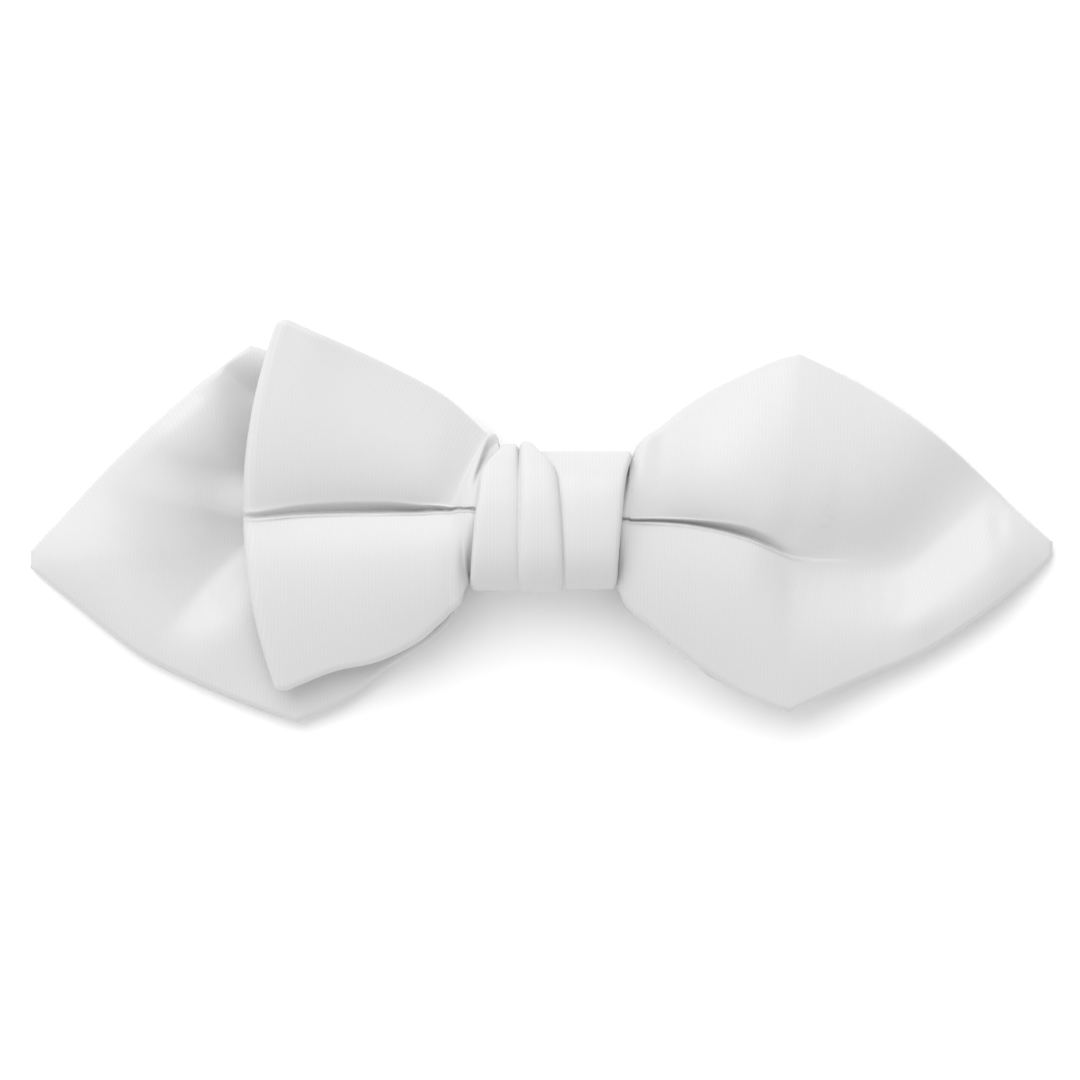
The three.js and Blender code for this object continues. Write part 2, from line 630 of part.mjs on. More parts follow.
const satin = new THREE.MeshStandardMaterial({ color: "#e6e6e6", roughness: 0.42, metalness: 0 });
const springSteel = new THREE.MeshStandardMaterial({ color: "#b9bcc0", roughness: 0.3, metalness: 1 });

function named(name, geometry, material) {
  geometry.computeVertexNormals();
  const mesh = new THREE.Mesh(geometry, material);
  mesh.name = name;
  return mesh;
}

const bowTie = new THREE.Group();
bowTie.add(
  named("front_blade", makeBlade(frontPoint, frontLoop, frontHiddenHeight), satin),
  named("back_blade", makeBlade(backPoint, backLoop, backHiddenHeight), satin),
  named("knot_wrap", makeKnotWrap(), satin),
  named("collar_clip", makeCollarClip(), springSteel),
);

// The origin is below the middle of the whole bow, on the surface it lies on.
const bounds = new THREE.Box3().setFromObject(bowTie);
const middle = bounds.getCenter(new THREE.Vector3());
for (const mesh of bowTie.children) {
  mesh.position.set(-middle.x, -middle.y, -bounds.min.z);
}

export default bowTie;
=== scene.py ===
"""A pre-tied diamond point bow tie in white satin, lying on its back on a pale floor.

Lengths in the tables and the driving sizes are millimetres in the knot's own frame, with
its middle at x = y = 0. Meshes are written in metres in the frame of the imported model.
"""

import math

import bpy
import numpy as np
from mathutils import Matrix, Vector


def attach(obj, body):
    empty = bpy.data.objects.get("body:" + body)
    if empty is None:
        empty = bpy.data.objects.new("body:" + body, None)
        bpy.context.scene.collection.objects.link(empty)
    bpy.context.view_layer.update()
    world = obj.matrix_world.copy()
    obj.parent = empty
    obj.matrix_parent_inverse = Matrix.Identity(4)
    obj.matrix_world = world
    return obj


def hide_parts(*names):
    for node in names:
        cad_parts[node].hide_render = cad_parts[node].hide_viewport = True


MM = 0.001

# Thickness of each cloth and of the clip's strip, and the gap between pieces, as in the part
CLOTH = 1.2
WRAP = 1.2
CLIP = 0.8
GAP = 0.3

# Knot
KNOT_HALF_WIDTH = 9.1
KNOT_HALF_HEIGHT = 8.5
KNOT_FRONT_RISE = 6.5
KNOT_BACK_CORNER = 2.4
KNOT_PLEAT_RISE = 0.9

# Folds of the cloth
ROLL_DEPTH = 3.4
SLOT_DEPTH = 1.9
CREASE_CLEARANCE = 0.3
FRONT_TURN_RADIUS = 0.8
BACK_TURN_RADIUS = 0.85
LOOP_EDGE_BOW = 4.6
DOME_POWER = 1.7

# Reach, height above and height below the middle of the knot, for each wing
FRONT_POINT = {"reach": 62.7, "top": 20.6, "foot": 23.8}
FRONT_LOOP = {"reach": 37.5, "top": 24.6, "foot": 21.1}
BACK_POINT = {"reach": 64.4, "top": 21.7, "foot": 25.1}
BACK_LOOP = {"reach": 37.2, "top": 18.4, "foot": 21.1}

# Fineness of the meshes
POINT_STEPS = 130
LOOP_STEPS = 90
HIDDEN_STEPS = 30
TURN_STEPS = 18
PASS_STEPS = 8
ACROSS_LINES = 150
CENTRE_SPACING = 0.5

# Lines that follow each rim of a wing, in millimetres, and the room that they take
RIM_LINES = (0.04, 0.14, 0.32, 0.6)
LARGEST_RIM = 0.5
RIM_ROOM = 1.3

# Rounding of a cloth's rims, and the most that its thickness grows on a steep slope
EDGE_ROUND = 0.7
STEEPEST_OFFSET = 1.5
TINY = 1e-9

# Heights of the layers in the knot, from the back
PITCH = CLOTH + GAP
REST = CLOTH / 2
CLIP_BASE = WRAP + GAP
LAYER_FOUR = CLIP_BASE + CLIP + GAP + CLOTH / 2
LAYER_THREE = LAYER_FOUR + PITCH
LAYER_TWO = LAYER_THREE + PITCH
LAYER_ONE = LAYER_TWO + PITCH + CREASE_CLEARANCE + ROLL_DEPTH + SLOT_DEPTH
KNOT_DEPTH = LAYER_ONE + CLOTH / 2 + GAP + WRAP
CHANNEL_HALF_HEIGHT = KNOT_HALF_HEIGHT - WRAP - GAP

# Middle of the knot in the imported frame, whose origin is below the middle of the bow
KNOT_X = (BACK_POINT["reach"] - FRONT_POINT["reach"]) / 2
KNOT_Y = (BACK_POINT["foot"] - FRONT_LOOP["top"]) / 2

# Ribs of each wing from the knot outwards, finer than in the part. X is a share of the reach and Y of
# the height above or below. Levels, in the middle and at both edges, are shares of the way
# from the resting height to the layer's height in the knot. roll and slot are shares of
# ROLL_DEPTH and SLOT_DEPTH, pleat_at the place of the pleat between the lower edge, -1, and
# the upper edge, 1, gap a share of PLEAT_SLOT and bow a share of LOOP_EDGE_BOW. In the first
# two ribs the edges are inside the knot's channel.
RIB_COLUMNS = ("at", "top_x", "top_y", "foot_x", "foot_y", "level", "top_level", "foot_level",
               "roll", "slot", "pleat_at", "gap", "bow", "corner")

FRONT_POINT_RIBS = (
    (0.00, 0.136, 0.000, 0.114, 0.000, 1.00, 0.72, 0.72, 0.22, 0.40, 0.015, 0.5, 0.00, 0),
    (0.02, 0.161, 0.000, 0.132, 0.000, 1.02, 0.72, 0.72, 0.25, 0.40, 0.015, 0.5, -0.02, 0),
    (0.05, 0.172, 0.400, 0.139, 0.375, 1.05, 0.74, 0.76, 0.50, 0.45, 0.030, 0.5, 0.00, 0),
    (0.10, 0.225, 0.562, 0.198, 0.550, 1.05, 0.50, 0.74, 0.95, 0.60, 0.050, 0.6, 0.00, 0),
    (0.20, 0.305, 0.750, 0.287, 0.746, 0.98, 0.27, 0.62, 1.35, 0.75, 0.030, 1.0, 0.00, 0),
    (0.30, 0.398, 0.892, 0.378, 0.900, 0.88, 0.30, 0.51, 1.30, 0.72, -0.025, 2.2, 0.00, 0),
    (0.36, 0.447, 0.955, 0.428, 0.958, 0.82, 0.31, 0.47, 1.18, 0.52, -0.085, 2.8, 0.00, 0),
    (0.42, 0.497, 1.000, 0.477, 1.000, 0.76, 0.32, 0.43, 1.00, 0.16, -0.135, 3.0, 0.00, 1),
    (0.55, 0.618, 0.814, 0.618, 0.829, 0.61, 0.35, 0.34, 0.66, 0.00, -0.180, 3.0, 0.00, 0),
    (0.70, 0.748, 0.554, 0.748, 0.683, 0.44, 0.38, 0.26, 0.36, 0.00, -0.180, 3.0, 0.00, 0),
    (0.83, 0.867, 0.244, 0.867, 0.480, 0.30, 0.30, 0.20, 0.00, 0.00, -0.100, 3.0, 0.00, 0),
    (0.92, 0.933, 0.044, 0.933, 0.342, 0.18, 0.17, 0.13, 0.00, 0.00, 0.000, 3.0, 0.00, 0),
    (0.97, 0.974, -0.066, 0.974, 0.256, 0.10, 0.09, 0.07, 0.00, 0.00, 0.000, 3.0, 0.00, 0),
    (1.00, 1.000, -0.133, 1.000, 0.185, 0.05, 0.05, 0.05, 0.00, 0.00, 0.000, 3.0, 0.00, 0),
)

# Here pleat_at is the height of the crease above the middle of the knot, as a share of
# CREASE_HEIGHT, and place_crease turns it into the place across each rib.
CREASE_HEIGHT = 1.25
FRONT_LOOP_RIBS = (
    (0.00, 0.150, 0.000, 0.235, 0.000, 1.00, 0.72, 0.72, 0.22, 0.40, 1.00, 0.5, 0.22, 0),
    (0.02, 0.174, 0.000, 0.262, 0.000, 1.02, 0.72, 0.72, 0.25, 0.40, 1.00, 0.5, 0.24, 0),
    (0.06, 0.172, 0.385, 0.276, 0.420, 1.02, 0.64, 0.76, 0.45, 0.50, 1.10, 0.5, 0.40, 0),
    (0.13, 0.204, 0.433, 0.320, 0.540, 1.05, 0.62, 0.74, 1.00, 0.60, 0.96, 0.8, 0.50, 0),
    (0.25, 0.333, 0.614, 0.375, 0.635, 1.07, 0.66, 0.67, 1.45, 0.70, 0.92, 1.2, 0.45, 0),
    (0.40, 0.490, 0.749, 0.435, 0.724, 1.03, 0.76, 0.58, 1.50, 0.70, 0.88, 2.0, 0.50, 0),
    (0.60, 0.645, 0.861, 0.563, 0.832, 0.97, 0.86, 0.52, 1.40, 0.65, 0.80, 2.3, 0.65, 0),
    (0.80, 0.760, 0.937, 0.708, 0.890, 0.92, 0.93, 0.49, 1.20, 0.60, 0.64, 2.0, 0.80, 0),
    (1.00, 0.851, 1.000, 0.861, 1.000, 0.88, 0.93, 0.48, 0.90, 0.50, 0.28, 1.3, 0.91, 0),
)

BACK_POINT_RIBS = (
    (0.00, 0.120, 0.000, 0.142, 0.000, 1.00, 1.00, 1.00, 0.00, 0.00, 0.000, 1.0, 0.00, 0),
    (0.02, 0.136, 0.000, 0.157, 0.000, 1.00, 1.00, 1.00, 0.00, 0.00, 0.000, 1.0, 0.00, 0),
    (0.08, 0.155, 0.380, 0.172, 0.381, 1.00, 0.97, 0.97, 0.00, 0.00, 0.000, 1.0, 0.00, 0),
    (0.16, 0.247, 0.610, 0.208, 0.554, 0.95, 0.90, 0.86, 0.00, 0.00, 0.000, 1.0, 0.00, 0),
    (0.26, 0.401, 0.820, 0.312, 0.737, 0.84, 0.74, 0.66, 0.00, 0.00, 0.000, 1.0, 0.00, 0),
    (0.36, 0.497, 0.930, 0.391, 0.890, 0.88, 0.64, 0.46, 0.00, 0.00, 0.000, 1.0, 0.00, 0),
    (0.45, 0.574, 1.000, 0.484, 1.000, 0.94, 0.58, 0.36, 0.00, 0.00, 0.000, 1.0, 0.00, 1),
    (0.55, 0.643, 0.848, 0.596, 0.895, 1.08, 0.56, 0.30, 0.00, 0.00, 0.000, 1.0, 0.00, 0),
    (0.65, 0.726, 0.637, 0.679, 0.804, 1.22, 0.54, 0.26, 0.00, 0.00, 0.000, 1.0, 0.00, 0),
    (0.75, 0.797, 0.445, 0.777, 0.683, 1.12, 0.50, 0.24, 0.00, 0.00, 0.000, 1.0, 0.00, 0),
    (0.84, 0.867, 0.244, 0.850, 0.547, 0.86, 0.40, 0.20, 0.00, 0.00, 0.000, 1.0, 0.00, 0),
    (0.91, 0.938, 0.016, 0.909, 0.425, 0.52, 0.22, 0.14, 0.00, 0.00, 0.000, 1.0, 0.00, 0),
    (0.96, 0.970, -0.080, 0.968, 0.304, 0.25, 0.12, 0.08, 0.00, 0.00, 0.000, 1.0, 0.00, 0),
    (1.00, 1.000, -0.180, 1.000, 0.237, 0.00, 0.00, 0.00, 0.00, 0.00, 0.000, 1.0, 0.00, 0),
)

BACK_LOOP_RIBS = (
    (0.00, 0.265, 0.000, 0.210, 0.000, 1.00, 1.00, 1.00, 0.00, 0.00, 0.000, 1.0, 0.00, 0),
    (0.02, 0.292, 0.000, 0.235, 0.000, 1.00, 1.00, 1.00, 0.00, 0.00, 0.000, 1.0, 0.00, 0),
    (0.10, 0.302, 0.385, 0.264, 0.430, 1.00, 0.97, 0.97, 0.00, 0.00, 0.000, 1.0, 0.10, 0),
    (0.25, 0.384, 0.553, 0.374, 0.635, 0.86, 0.75, 0.70, 0.00, 0.00, 0.000, 1.0, 0.25, 0),
    (0.45, 0.514, 0.776, 0.484, 0.835, 0.62, 0.50, 0.45, 0.00, 0.00, 0.000, 1.0, 0.45, 0),
    (0.60, 0.620, 0.880, 0.545, 0.930, 0.54, 0.46, 0.42, 0.00, 0.00, 0.000, 1.0, 0.60, 0),
    (0.80, 0.715, 0.950, 0.660, 0.980, 0.48, 0.44, 0.42, 0.00, 0.00, 0.000, 1.0, 0.80, 0),
    (1.00, 0.815, 1.000, 0.805, 1.000, 0.45, 0.44, 0.44, 0.00, 0.00, 0.000, 1.0, 1.00, 0),
)

# How far a loop's hidden layer has gone from its own height to the fold's height, and how
# much narrower than the front layer it is halfway
HIDDEN_INSET = 0.05
HIDDEN_COLUMNS = ("at", "climb", "sink", "corner")
HIDDEN_ROWS = (
    (0.00, 0.00, 0.00, 0),
    (0.30, 0.12, 0.02, 0),
    (0.45, 0.25, 0.07, 0),
    (0.60, 0.40, 0.12, 0),
    (0.80, 0.65, 0.50, 0),
    (1.00, 1.00, 1.00, 0),
)

# Soft folds over the ribs. Points are shares of the wing's reach from the middle of the
# knot, height is a share of FOLD_HEIGHT, and the widths above and below the fold's line,
# towards +Y and -Y, are shares of FOLD_WIDTH. start and end are the shares of its length
# over which it fades in and out.
FOLD_HEIGHT = 3.0
FOLD_WIDTH = 6.0
FOLD_STEPS = 24
BEFORE_START = -1e-6
FOLD_COLUMNS = ("path", "height", "above", "below", "start", "end")

FRONT_POINT_FOLDS = (
    # Valley from the end of the crease along the middle and up towards the upper right edge
    (((0.40, -0.05), (0.47, -0.07), (0.56, -0.09), (0.70, -0.08), (0.85, 0.05), (0.92, 0.12)),
     -1.10, 1.25, 0.9, 0.6, 0.15),
    # Ridge from the lower lobe to the point
    (((0.60, -0.20), (0.75, -0.19), (0.86, -0.13), (0.98, -0.08)), 0.22, 0.9, 0.6, 0.5, 0.3),
    # Knuckle above the lower right edge
    (((0.70, -0.17), (0.77, -0.23)), 0.10, 0.5, 0.4, 0.5, 0.5),
    # Small dent before the point
    (((0.86, -0.02), (0.92, -0.02)), -0.10, 0.4, 0.4, 0.5, 0.5),
)

BACK_POINT_FOLDS = (
    # Ridge along the upper left edge
    (((0.60, 0.28), (0.67, 0.21), (0.76, 0.13), (0.85, 0.03)), 1.10, 0.7, 1.6, 0.3, 0.5),
    # Valley from behind the loop down to the lower left edge
    (((0.52, 0.03), (0.57, -0.018), (0.62, -0.067), (0.67, -0.119), (0.72, -0.18), (0.79, -0.27)),
     -1.35, 1.9, 0.75, 0.3, 0.4),
    # Hollow beside the loop's folded edge
    (((0.50, 0.30), (0.54, 0.15), (0.57, 0.0)), -1.10, 1.8, 1.0, 0.3, 0.3),
)

# The loops have no folds but their pleat
LOOP_FOLDS = ()

# Columns that a corner row bends sharply
OUTLINE_COLUMNS = ("top_y", "foot_y")


class Table:
    """Smooth curves through the rows of a table, with the outline bent sharply at a corner row."""

    def __init__(self, columns, rows):
        values = np.array(rows, float).T
        self.columns = dict(zip(columns, values))
        self.places = self.columns["at"]
        last = len(self.places) - 1
        index = np.arange(last + 1)
        back = np.maximum(index - 1, 0)
        ahead = np.minimum(index + 1, last)
        sharp = self.columns["corner"] == 1
        self.smooth = ((back, ahead), (back, ahead))
        self.bent = ((np.where(sharp, index, back), ahead), (back, np.where(sharp, index, ahead)))

    def slopes(self, values, pair):
        before, after = pair
        return (values[after] - values[before]) / (self.places[after] - self.places[before])

    def at(self, where, bent=True):
        """The value of every column at each place; bent=False rounds the outline's corner too."""
        where = np.asarray(where, float)
        index = np.clip(np.searchsorted(self.places, where, side="right") - 1, 0, len(self.places) - 2)
        length = self.places[index + 1] - self.places[index]
        t = np.clip((where - self.places[index]) / length, 0, 1)
        found = {}
        for name, values in self.columns.items():
            leave_pair, arrive_pair = self.bent if bent and name in OUTLINE_COLUMNS else self.smooth
            leave = self.slopes(values, leave_pair)[index] * length
            arrive = self.slopes(values, arrive_pair)[index + 1] * length
            found[name] = (
                (2 * t**3 - 3 * t**2 + 1) * values[index]
                + (t**3 - 2 * t**2 + t) * leave
                + (3 * t**2 - 2 * t**3) * values[index + 1]
                + (t**3 - t**2) * arrive
            )
        return found


def smoothstep(value, low, high):
    """A smooth rise from 0 at the low end to 1 at the high end."""
    t = np.clip((value - low) / (high - low), 0, 1)
    return t * t * (3 - 2 * t)


def lerp(a, b, share):
    return a + (b - a) * share


def fold_line(points):
    """A smooth line of FOLD_STEPS + 1 points through the chosen points of a fold."""
    points = np.array(points, float)
    rows = [(index / (len(points) - 1), x, y, 0) for index, (x, y) in enumerate(points)]
    line = Table(("at", "x", "y", "corner"), rows).at(np.linspace(0, 1, FOLD_STEPS + 1))
    return np.stack([line["x"], line["y"]], axis=1)


def fold_height(folds, reach, x, y):
    """Height that the soft folds of a wing add at each place."""
    total = np.zeros_like(x)
    for row in folds:
        fold = dict(zip(FOLD_COLUMNS, row))
        line = fold_line(fold["path"]) * reach
        nearest = np.full(x.shape, np.inf)
        signed = np.zeros_like(x)
        along = np.zeros_like(x)
        for step, (start, end) in enumerate(zip(line[:-1], line[1:])):
            run = end - start
            share = np.clip(((x - start[0]) * run[0] + (y - start[1]) * run[1]) / (run @ run), 0, 1)
            off_x = x - start[0] - share * run[0]
            off_y = y - start[1] - share * run[1]
            distance = np.hypot(off_x, off_y)
            closer = distance < nearest
            towards = np.sign(run[0] if abs(run[0]) > TINY else 1)
            side = towards * (run[0] * off_y - run[1] * off_x)
            nearest = np.where(closer, distance, nearest)
            signed = np.where(closer, side, signed)
            along = np.where(closer, (step + share) / FOLD_STEPS, along)
        width = np.where(signed > 0, fold["above"], fold["below"]) * FOLD_WIDTH
        fade_in = smoothstep(along, BEFORE_START, fold["start"])
        fade_out = smoothstep(1 - along, BEFORE_START, fold["end"])
        fade = fade_in * fade_out
        total += fold["height"] * FOLD_HEIGHT * fade * np.exp(-((nearest / width) ** 2))
    return total


# Cross-section of the lengthwise pleat: a wide roll on both sides of a narrow slot with a
# crisp lower lip. Lengths are in millimetres, and the lip's rise is a share of the roll.
# Where the slot runs out, the roll's bottom is rounded over the softness.
PLEAT_ROLL_ABOVE = 5.5
PLEAT_ROLL_BELOW = 6.0
PLEAT_SOFTNESS = 7.0
PLEAT_LIP_RISE = 0.3
PLEAT_SLOT = 0.35
PLEAT_LIP = 0.22


def pleat_fall(rib, distance):
    """How far the pleat takes the cloth down, at a distance above the pleat's line."""
    below = distance <= 0
    sharpness = np.maximum(rib["slot"], 0)
    roll = np.where(below, PLEAT_ROLL_BELOW, PLEAT_ROLL_ABOVE)
    lip = np.where(below, PLEAT_LIP_RISE * sharpness, 0)
    slot = np.where(below, PLEAT_LIP, PLEAT_SLOT * rib["gap"])
    softness = PLEAT_SOFTNESS * (1 - sharpness) ** 2
    wide = np.exp((softness - np.hypot(distance, softness)) / roll)
    narrow = np.exp(-((distance / slot) ** 2))
    rolled = rib["roll"] * ROLL_DEPTH
    return rolled * (wide * (1 - lip) + narrow * lip) + sharpness * SLOT_DEPTH * narrow


def make_wing(sizes, ribs, folds, side, root):
    return {**sizes, "ribs": Table(RIB_COLUMNS, ribs), "folds": folds, "side": side, "root": root}


front_point = make_wing(FRONT_POINT, FRONT_POINT_RIBS, FRONT_POINT_FOLDS, 1, LAYER_ONE)
front_loop = make_wing(FRONT_LOOP, FRONT_LOOP_RIBS, LOOP_FOLDS, -1, LAYER_ONE)
back_point = make_wing(BACK_POINT, BACK_POINT_RIBS, BACK_POINT_FOLDS, -1, LAYER_THREE)
back_loop = make_wing(BACK_LOOP, BACK_LOOP_RIBS, LOOP_FOLDS, 1, LAYER_THREE)


def wing_frame(wing, at, bent=True):
    """Rib values of a wing, with the ends of each rib in millimetres."""
    rib = wing["ribs"].at(at, bent)
    in_channel = 1 - smoothstep(at, wing["ribs"].places[1], wing["ribs"].places[2])
    rib["top"] = rib["top_y"] * wing["top"] + in_channel * CHANNEL_HALF_HEIGHT
    rib["foot"] = -rib["foot_y"] * wing["foot"] - in_channel * CHANNEL_HALF_HEIGHT
    return {name: value[:, None] for name, value in rib.items()}


def place_crease(wing):
    """Turns the crease heights of a wing into places between its lower and upper edges."""
    ribs = wing["ribs"]
    rib = wing_frame(wing, ribs.places)
    top = rib["top"][:, 0]
    foot = rib["foot"][:, 0]
    height = CREASE_HEIGHT * ribs.columns["pleat_at"]
    ribs.columns["pleat_at"] = (2 * height - top - foot) / (top - foot)


place_crease(front_loop)


# Over this height a cloth eases onto the floor
FLOOR_SOFTNESS = 0.3


def wing_points(wing, at, across):
    """Middle surface of a wing, one row for each place along it, as an array of points."""
    rib = wing_frame(wing, at)
    soft = wing_frame(wing, at, bent=False)
    share = (across + 1) / 2
    bowed = rib["bow"] * LOOP_EDGE_BOW * (1 - across**2)
    out = lerp(rib["foot_x"], rib["top_x"], share) * wing["reach"] + bowed
    y = lerp(rib["foot"], rib["top"], share)
    # Heights follow the rounded outline, so that no kink runs inwards from a corner
    pleat_y = lerp(soft["foot"], soft["top"], (rib["pleat_at"] + 1) / 2)
    soft_across = (2 * y - soft["top"] - soft["foot"]) / (soft["top"] - soft["foot"])
    edge_level = np.where(soft_across > 0, rib["top_level"], rib["foot_level"])
    level = lerp(rib["level"], edge_level, np.abs(soft_across) ** DOME_POWER)
    z = (
        lerp(REST, wing["root"], level)
        - pleat_fall(rib, y - pleat_y)
        + fold_height(wing["folds"], wing["reach"], out, y)
    )
    resting = REST + FLOOR_SOFTNESS * np.logaddexp((z - REST) / FLOOR_SOFTNESS, 0)
    return np.stack([wing["side"] * out, y, resting], axis=-1)


def across_lines(wing, at):
    """Places across a wing for each place along it: crowded at the pleat and at both rims."""
    rib = wing_frame(wing, at)
    half_height = (rib["top"] - rib["foot"]) / 2
    even = np.linspace(-1, 1, ACROSS_LINES)
    spaced = (even * (CENTRE_SPACING + (1 - CENTRE_SPACING) * np.abs(even)))[None, :]
    room = np.where(spaced > 0, 1 - rib["pleat_at"], 1 + rib["pleat_at"])
    inner = rib["pleat_at"] + spaced * room
    rims = np.array(RIM_LINES)[None, :]
    rim = np.minimum(rims / half_height, LARGEST_RIM * rims)
    inner = inner * (1 - RIM_ROOM * rim[:, -1:])
    ends = np.ones((len(at), 1))
    return np.concatenate([-ends, rim - 1, inner, 1 - rim[:, ::-1], ends], axis=1)


def wing_grid(wing, at):
    """A grid of points of a wing's middle surface, with a row for each place along it."""
    return wing_points(wing, at, across_lines(wing, at))


def hidden_grid(loop, at, middle_height, follow):
    """A loop's hidden layer, on its front layer's outline but a little smaller."""
    across = across_lines(loop, at)
    points = wing_points(loop, at, across)
    inset = 1 - HIDDEN_INSET * np.sin(np.pi * at)
    points[..., 1] *= inset[:, None]
    points[..., 2] = middle_height(at, across, points, follow)
    return points


def front_hidden_height(at, across, points, fold_row):
    """The front loop's hidden layer climbs to its fold and stays below its front layer."""
    climb = Table(HIDDEN_COLUMNS, HIDDEN_ROWS).at(at)["climb"][:, None]
    climbing = lerp(LAYER_TWO, fold_row[None, :] - 2 * FRONT_TURN_RADIUS, climb)
    return np.minimum(climbing, points[..., 2] - 2 * FRONT_TURN_RADIUS)


def back_hidden_height(at, across, points, fold_row):
    """The back loop's hidden layer follows its front layer's section and stays off the floor."""
    sink = Table(HIDDEN_COLUMNS, HIDDEN_ROWS).at(at)["sink"][:, None]
    centre = points.shape[1] // 2
    middle_height = points[:, centre, 2][:, None]
    sinking = lerp(LAYER_FOUR, fold_row[centre] - 2 * BACK_TURN_RADIUS, sink)
    middle = np.minimum(sinking, middle_height - PITCH)
    return np.maximum(middle - middle_height + points[..., 2], REST)


def turn_grid(front_end, hidden_end, side, steps):
    """Half circles that join the two layers of a loop at its folded edge."""
    angle = (np.pi * np.arange(1, steps) / steps)[:, None, None]
    radius = np.linalg.norm(front_end - hidden_end, axis=-1)[None, :]
    points = front_end + (hidden_end - front_end) * (1 - np.cos(angle)) / 2
    points[..., 0] += side * radius / 2 * np.sin(angle[..., 0])
    return points


def pass_grid(start, end, steps):
    """Straight rows between two rows of points, without the two."""
    share = (np.arange(1, steps) / steps)[:, None, None]
    return start + (end - start) * share


def places(wing, steps):
    """Places along a wing, evenly spaced but with one on every rib."""
    ribs = wing["ribs"].places
    found = []
    for start, end in zip(ribs[:-1], ribs[1:]):
        count = max(round((end - start) * steps), 2)
        found.append(np.linspace(start, end, count, endpoint=False))
    return np.append(np.concatenate(found), 1.0)


def walked(grid, axis):
    """The length walked along each line of a grid to each of its points."""
    steps = np.linalg.norm(np.diff(grid, axis=axis), axis=-1)
    walk = np.cumsum(steps, axis=axis)
    return np.concatenate([np.zeros_like(walk.take([0], axis=axis)), walk], axis=axis)


def cloth_mesh(name, grid, thickness, knot_row):
    """A closed cloth round a grid of middle points, with rounded rims and UVs in metres of cloth."""
    rows, columns = grid.shape[:2]
    along = np.gradient(grid, axis=0)
    across = np.gradient(grid, axis=1)
    outward = np.stack([along[..., 2], np.zeros((rows, columns)), -along[..., 0]], axis=-1)
    outward /= np.linalg.norm(outward, axis=-1, keepdims=True)
    rise = np.sum(across * outward, axis=-1)
    run = np.linalg.norm(across - outward * rise[..., None], axis=-1)
    stretch = np.minimum(np.hypot(1, rise / np.maximum(run, TINY)), STEEPEST_OFFSET)
    u = walked(grid, 0)
    v = walked(grid, 1)
    lengthwise = walked(grid[..., [0, 2]], 0)
    rim = np.minimum(np.minimum(v, v[:, -1:] - v), np.minimum(u, u[-1:] - u))
    round_off = np.sqrt(np.clip(1 - (1 - np.minimum(rim / EDGE_ROUND, 1)) ** 2, 0, 1))
    offset = outward * (stretch * round_off * thickness / 2)[..., None]
    v = v - v[:, columns // 2][:, None]
    u = lengthwise - lengthwise[knot_row] + np.abs(grid[knot_row, :, 0])
    index = np.arange(rows * columns).reshape(rows, columns)
    border = np.zeros((rows, columns), bool)
    border[[0, -1], :] = True
    border[:, [0, -1]] = True
    under = np.full((rows, columns), -1)
    under[~border] = rows * columns + np.arange((~border).sum())
    under[border] = index[border]
    vertices = np.concatenate([(grid + offset).reshape(-1, 3), (grid - offset)[~border]])
    coordinates = np.concatenate([np.stack([u, v], -1).reshape(-1, 2), np.stack([u, v], -1)[~border]])

    def quads(numbers, flipped):
        corners = [numbers[:-1, :-1], numbers[:-1, 1:], numbers[1:, 1:], numbers[1:, :-1]]
        if flipped:
            corners.reverse()
        return np.stack(corners, axis=-1).reshape(-1, 4)

    faces = np.concatenate([quads(index, False), quads(under, True)])
    return make_mesh(name, vertices, faces, coordinates)


def make_mesh(name, vertices, faces, coordinates):
    """A smooth-shaded mesh object from millimetre points in the knot's frame."""
    mesh = bpy.data.meshes.new(name)
    moved = (np.asarray(vertices) + np.array([KNOT_X, KNOT_Y, 0])) * MM
    mesh.from_pydata(moved.tolist(), [], np.asarray(faces).tolist())
    mesh.validate()
    layer = mesh.uv_layers.new(name="UVMap")
    corner_vertices = np.zeros(len(mesh.loops), int)
    mesh.loops.foreach_get("vertex_index", corner_vertices)
    layer.data.foreach_set("uv", (np.asarray(coordinates)[corner_vertices] * MM).astype(np.float32).ravel())
    mesh.polygons.foreach_set("use_smooth", np.ones(len(mesh.polygons), bool))
    obj = bpy.data.objects.new(name, mesh)
    bpy.context.scene.collection.objects.link(obj)
    return obj


def make_blade(name, point, loop, hidden_height, turn_side):
    """A blade from its diamond point through the knot and round its loop."""
    point_rows = wing_grid(point, places(point, POINT_STEPS))[::-1]
    loop_rows = wing_grid(loop, places(loop, LOOP_STEPS))
    hidden_at = np.append(np.linspace(1, loop["ribs"].places[1], HIDDEN_STEPS), 0)
    fold_row = loop_rows[-1, :, 2]
    hidden_rows = hidden_grid(loop, hidden_at, hidden_height, fold_row)
    turn_rows = turn_grid(loop_rows[-1], hidden_rows[0], turn_side, TURN_STEPS)
    through = pass_grid(point_rows[-1], loop_rows[0], PASS_STEPS)
    tail = hidden_rows[-1:].copy()
    tail[..., 0] -= turn_side * KNOT_HALF_WIDTH
    grid = np.concatenate([point_rows, through, loop_rows, turn_rows, hidden_rows, tail])
    knot_row = len(point_rows) + PASS_STEPS // 2 - 1
    return cloth_mesh(name, grid, CLOTH, knot_row)


# Wrap: edges and pleat valleys, heights as shares of the knot's half height and the rest
# as shares of its half width
WRAP_COLUMNS = ("at", "left", "first_valley", "second_valley", "right", "corner")
WRAP_ROWS = (
    (-1.00, -1.060, -0.405, 0.205, 0.930, 0),
    (-0.70, -1.045, -0.410, 0.205, 0.940, 0),
    (-0.30, -1.020, -0.415, 0.195, 0.965, 0),
    (0.00, -1.000, -0.410, 0.180, 0.990, 0),
    (0.40, -0.950, -0.405, 0.150, 1.020, 0),
    (0.74, -0.900, -0.405, 0.080, 1.065, 0),
    (1.00, -0.660, -0.400, -0.190, 1.140, 0),
)

